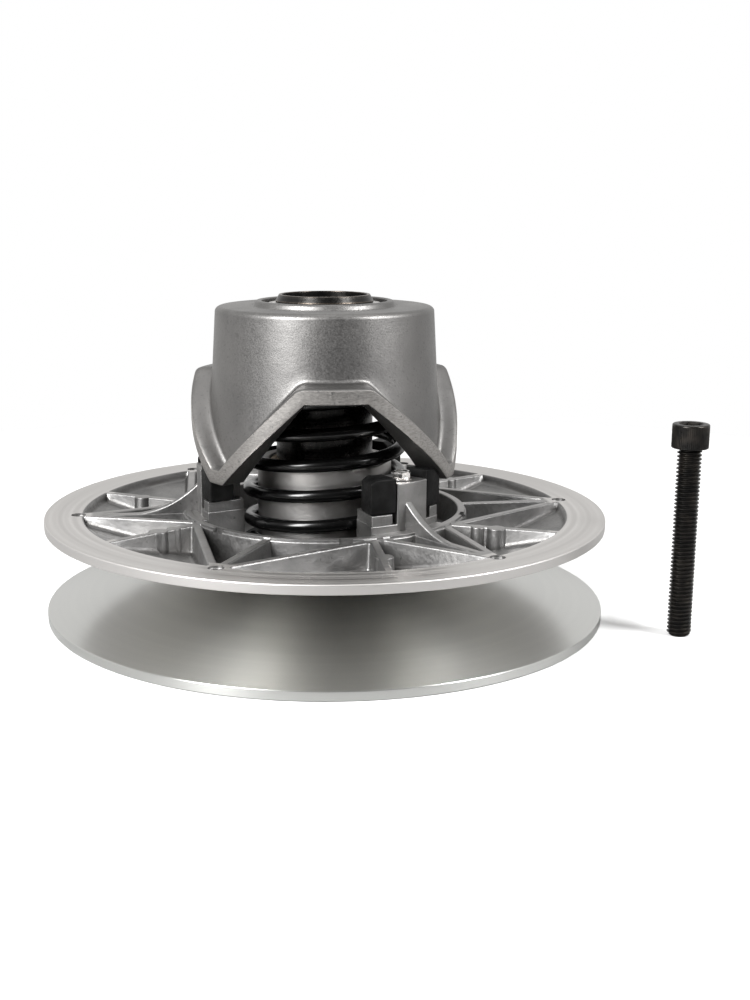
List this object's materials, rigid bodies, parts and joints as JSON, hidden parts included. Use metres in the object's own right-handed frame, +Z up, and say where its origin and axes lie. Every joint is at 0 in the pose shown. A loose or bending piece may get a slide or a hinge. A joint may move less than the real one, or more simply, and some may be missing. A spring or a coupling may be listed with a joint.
{
  "type": "cvt driven clutch pulley",
  "caption": "Driven clutch pulley: ribbed sliding sheave over a fixed sheave, cam dome with ramp windows, spring and black hub, with its socket head bolt.",
  "frame": {"origin": "middle of the whole set's footprint, in the plane that the clutch and the bolt stand on; the clutch's axis is at x = -16.1 mm, y = 0", "axes": "+Z up along the clutch's axis, from the fixed sheave towards the cam dome; +X from the clutch towards the bolt; -Y is the front"},
  "size_m": [0.2672, 0.235, 0.1326],
  "materials": {
    "cast_aluminium": "die cast, satin, darker in the pockets",
    "machined_aluminium": "fine turned",
    "blasted_aluminium": "blasted casting with machined ramp faces",
    "black_oxide_steel": "black oxide on turned steel",
    "bright_steel": "bright plated",
    "gloss_black_steel": "gloss black coating",
    "black_nylon": "matte moulded",
    "bushing_bronze": "sintered"
  },
  "bodies": {
    "fixed": {"fixed_sheave": "machined_aluminium", "hub_shaft": "black_oxide_steel", "hub_rivet_1": "bright_steel", "hub_rivet_2": "bright_steel", "hub_rivet_3": "bright_steel", "hub_rivet_4": "bright_steel", "hub_rivet_5": "bright_steel", "hub_rivet_6": "bright_steel", "drive_key": "bright_steel", "cam_dome": "blasted_aluminium", "thrust_washer": "black_oxide_steel", "retaining_ring": "bright_steel", "upper_spring_seat": "bright_steel", "spring": "gloss_black_steel"},
    "slip_washer": {"slip_washer": "black_nylon"},
    "sliding": {"sliding_sheave": "cast_aluminium", "lower_bushing": "bushing_bronze", "upper_bushing": "bushing_bronze", "forward_shoe_1": "black_nylon", "forward_shoe_2": "black_nylon", "forward_shoe_3": "black_nylon", "reverse_shoe_1": "black_nylon", "reverse_shoe_2": "black_nylon", "reverse_shoe_3": "black_nylon", "shoe_screw_1": "bright_steel", "shoe_screw_2": "bright_steel", "shoe_screw_3": "bright_steel"},
    "bolt": {"clutch_bolt": "black_oxide_steel"}
  },
  "joints": [
    {"name": "sheave_slide", "type": "slide", "parent": "fixed", "child": "slip_washer", "axis": [0, 0, 1], "range_m": [0, 0.022], "stiffness_N_per_m": 6000, "springref_m": -0.03, "deforming": ["spring"]},
    {"name": "sheave_turn", "type": "hinge", "parent": "slip_washer", "child": "sliding", "pos_m": [-0.01607, 0, 0.03], "axis": [0, 0, 1], "range_deg": [-29.5, 0]},
    {"name": "bolt_lift", "type": "slide", "parent": "fixed", "child": "bolt", "axis": [0, 0, 1], "range_m": [0, 0.1]}
  ],
  "couplings": [
    {"joint": "sheave_turn", "follows": "sheave_slide", "rad_per_m": -23.321}
  ]
}
